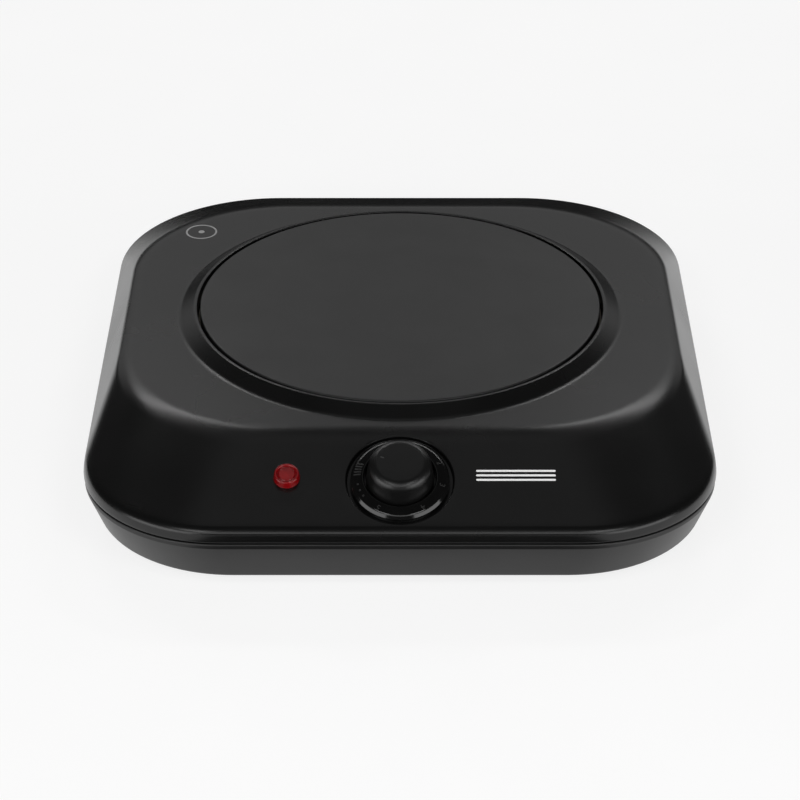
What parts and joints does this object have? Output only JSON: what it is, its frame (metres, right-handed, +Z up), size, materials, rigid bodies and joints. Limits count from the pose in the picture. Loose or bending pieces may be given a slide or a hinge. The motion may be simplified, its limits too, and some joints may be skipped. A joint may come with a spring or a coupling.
{
  "type": "electric hot plate",
  "caption": "Low rounded-square electric hot plate with a round cast-iron cooking plate in a raised collar, a front dial thermostat and a red lamp.",
  "frame": {"origin": "on the standing surface, under the centre of the body and of the cooking plate", "axes": "+Z up, -Y towards the front with the knob, +X to the right as seen from the front"},
  "size_m": [0.2764, 0.32, 0.0584],
  "materials": {
    "housing_paint": "satin black stove enamel on pressed steel",
    "tray_plastic": "satin black heat-resistant moulding",
    "foot_rubber": "matte",
    "zinc_steel": "bright zinc plated",
    "plate_iron": "fine turned, black heat-proof coating",
    "gasket_fibre": "woven mineral fibre",
    "coil_winding": "resistance wire winding packed with cement",
    "cement": "cast insulating cement",
    "cover_sheet": "galvanised sheet",
    "strap_steel": "plain sheet steel",
    "shield_sheet": "bright rolled",
    "steatite": "unglazed steatite",
    "terminal_steel": "nickel plated",
    "bezel_plastic": "polished black",
    "knob_plastic": "satin black phenolic",
    "brass_parts": "machined",
    "spring_bronze": "rolled spring strip",
    "contact_silver": "silver faced",
    "bimetal": "rolled bimetal",
    "lens_red": "translucent red, polished",
    "nylon_white": "natural nylon",
    "bulb_glass": "clear glass",
    "gland_rubber": "matte",
    "sleeve_brown": "silicone insulation",
    "sleeve_blue": "silicone insulation",
    "sleeve_glass_fibre": "braided glass-fibre sleeve",
    "sleeve_green": "silicone insulation, green with a yellow stripe"
  },
  "bodies": {
    "housing": {"top_housing": "housing_paint", "base_tray": "tray_plastic", "foot_front_left": "foot_rubber", "foot_front_right": "foot_rubber", "foot_rear_left": "foot_rubber", "foot_rear_right": "foot_rubber", "housing_screws": "zinc_steel", "hot_plate": "plate_iron", "plate_gasket": "gasket_fibre", "outer_coil": "coil_winding", "middle_coil": "coil_winding", "inner_coil": "coil_winding", "coil_cement": "cement", "plate_cover": "cover_sheet", "centre_stud": "zinc_steel", "bridge_strap": "strap_steel", "stud_washer": "zinc_steel", "stud_nut": "zinc_steel", "coil_terminal_block": "steatite", "coil_terminal_pins": "terminal_steel", "heat_shield": "shield_sheet", "heat_shield_screws": "zinc_steel", "dial_bezel": "bezel_plastic", "shaft_bush": "brass_parts", "thermostat_bracket": "strap_steel", "thermostat_screws": "zinc_steel", "insulator_stack": "steatite", "stack_rivet": "zinc_steel", "adjuster_tab": "spring_bronze", "contact_tab": "spring_bronze", "sensor_arm": "strap_steel", "lamp_lens": "lens_red", "lamp_body": "nylon_white", "neon_bulb": "bulb_glass", "lamp_clip": "strap_steel", "cord_gland": "gland_rubber", "mains_terminal_block": "nylon_white", "mains_terminal_screws": "zinc_steel", "live_wire": "sleeve_brown", "neutral_wire": "sleeve_blue", "heater_wire": "sleeve_glass_fibre", "earth_wire": "sleeve_green", "earth_screw": "zinc_steel", "lamp_live_wire": "sleeve_brown", "lamp_neutral_wire": "sleeve_blue"},
    "dial": {"knob": "knob_plastic", "knob_clip": "strap_steel", "thermostat_shaft": "brass_parts"},
    "adjuster": {"adjuster_spindle": "steatite"},
    "upper_leaf": {"adjuster_leaf": "spring_bronze", "upper_contact": "contact_silver"},
    "lower_leaf": {"contact_leaf": "spring_bronze", "lower_contact": "contact_silver"},
    "bimetal": {"bimetal_strip": "bimetal", "pusher_pin": "steatite"}
  },
  "joints": [
    {"name": "knob_turn", "type": "hinge", "parent": "housing", "child": "dial", "pos_m": [0, -0.13467, 0.04298], "axis": [0, 0.3792, -0.9253], "range_deg": [0, 300]},
    {"name": "spindle_feed", "type": "slide", "parent": "housing", "child": "adjuster", "axis": [0, 0.3792, -0.9253], "range_m": [0, 0.0008]},
    {"name": "upper_leaf_bend", "type": "hinge", "parent": "housing", "child": "upper_leaf", "pos_m": [0.0102, -0.12996, 0.0315], "axis": [0, -0.9253, -0.3792], "range_deg": [0, 4.5]},
    {"name": "bimetal_bend", "type": "hinge", "parent": "housing", "child": "bimetal", "pos_m": [0.0102, -0.12651, 0.02308], "axis": [0, -0.9253, -0.3792], "range_deg": [0, 3], "stiffness_Nm_per_rad": 0.05},
    {"name": "lower_leaf_bend", "type": "hinge", "parent": "housing", "child": "lower_leaf", "pos_m": [0.0102, -0.12837, 0.02762], "axis": [0, -0.9253, -0.3792], "range_deg": [0, 3]}
  ],
  "couplings": [
    {"joint": "spindle_feed", "follows": "knob_turn", "m_per_rad": 0.00015279},
    {"joint": "upper_leaf_bend", "follows": "knob_turn", "ratio": 0.015},
    {"joint": "lower_leaf_bend", "follows": "bimetal_bend", "ratio": 1}
  ]
}
